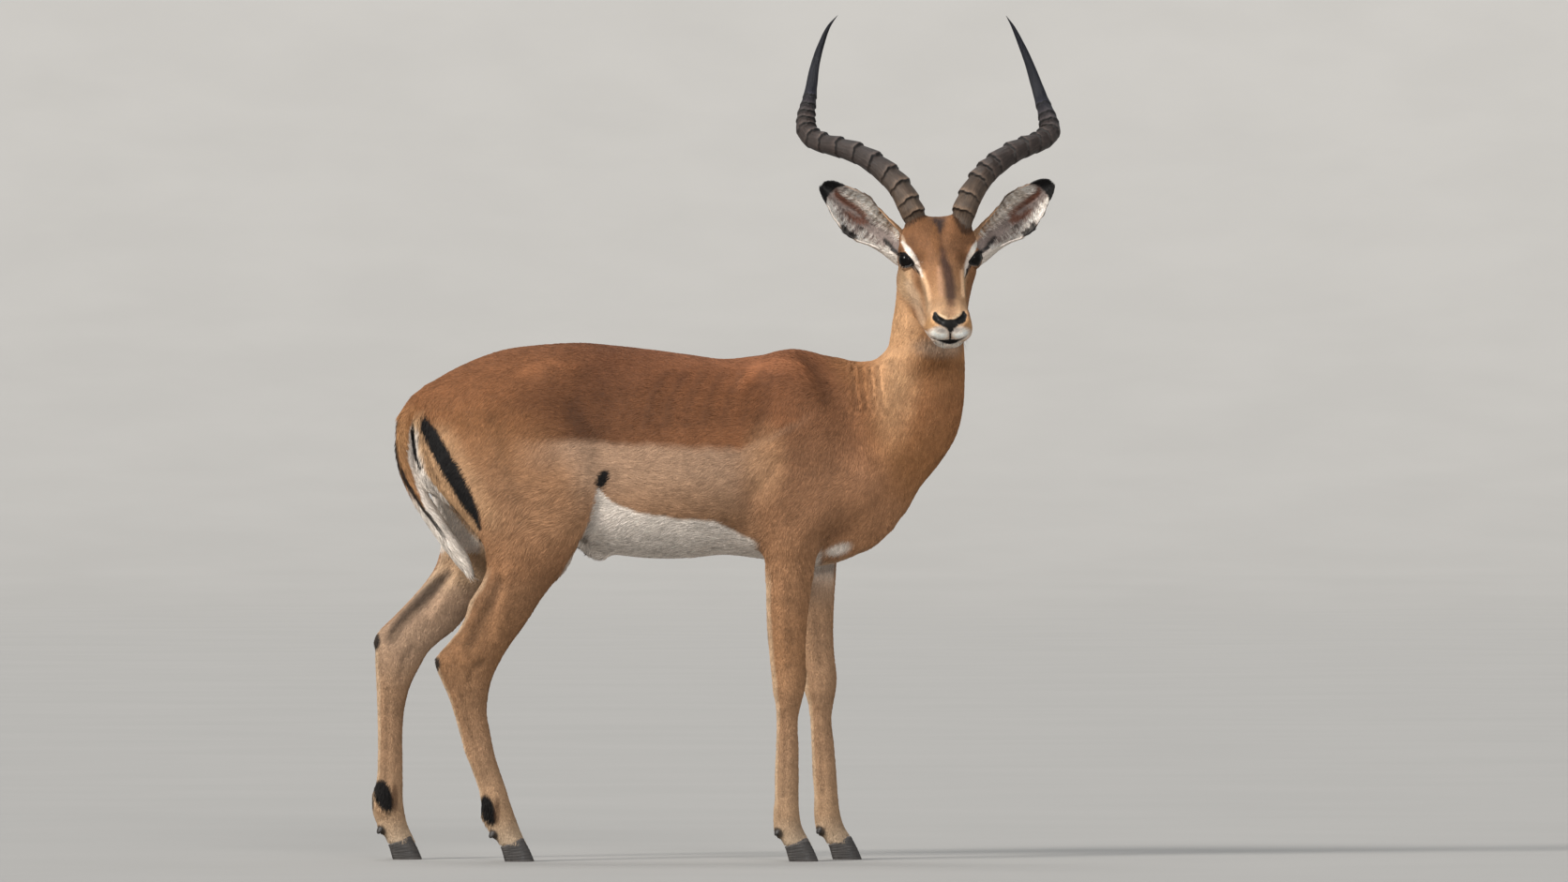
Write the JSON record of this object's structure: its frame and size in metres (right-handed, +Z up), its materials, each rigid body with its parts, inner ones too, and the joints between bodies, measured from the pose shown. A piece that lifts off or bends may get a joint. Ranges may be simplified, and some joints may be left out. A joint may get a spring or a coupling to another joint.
{
  "type": "impala antelope",
  "caption": "Life-size standing male impala antelope, body side-on, head turned to its right, with ridged lyre-shaped horns and cupped ears; a still display model.",
  "frame": {"origin": "middle of the floor under the animal: the centre of the whole box in X and Y, at the height of the soles", "axes": "+X the way the body faces, +Y to the animal's left, +Z up; the face looks along -Y"},
  "size_m": [1.2132, 0.3619, 1.4946],
  "materials": {
    "coat": "short red-brown and fawn fur, white below",
    "face_coat": "short orange-tan fur, white marks",
    "leg_coat": "short tan fur",
    "ear_coat": "thin ears, pale hair inside, black tips",
    "tail_coat": "brown and white tail hair",
    "horn": "dark ridged horn, smooth tips",
    "hoof": "dark horn, satin",
    "eye": "dark brown, wet gloss"
  },
  "bodies": {
    "root": {"ear_left": "ear_coat", "ear_right": "ear_coat", "eye_left": "eye", "eye_right": "eye", "forearm_left": "leg_coat", "forearm_right": "leg_coat", "gaskin_left": "leg_coat", "gaskin_right": "leg_coat", "head": "face_coat", "hoof_front_left_inner": "hoof", "hoof_front_left_outer": "hoof", "hoof_front_right_inner": "hoof", "hoof_front_right_outer": "hoof", "hoof_hind_left_inner": "hoof", "hoof_hind_left_outer": "hoof", "hoof_hind_right_inner": "hoof", "hoof_hind_right_outer": "hoof", "horn_left": "horn", "horn_right": "horn", "neck": "coat", "shank_front_left": "leg_coat", "shank_front_right": "leg_coat", "shank_hind_left": "leg_coat", "shank_hind_right": "leg_coat", "tail": "tail_coat", "trunk": "coat"}
  },
  "joints": []
}
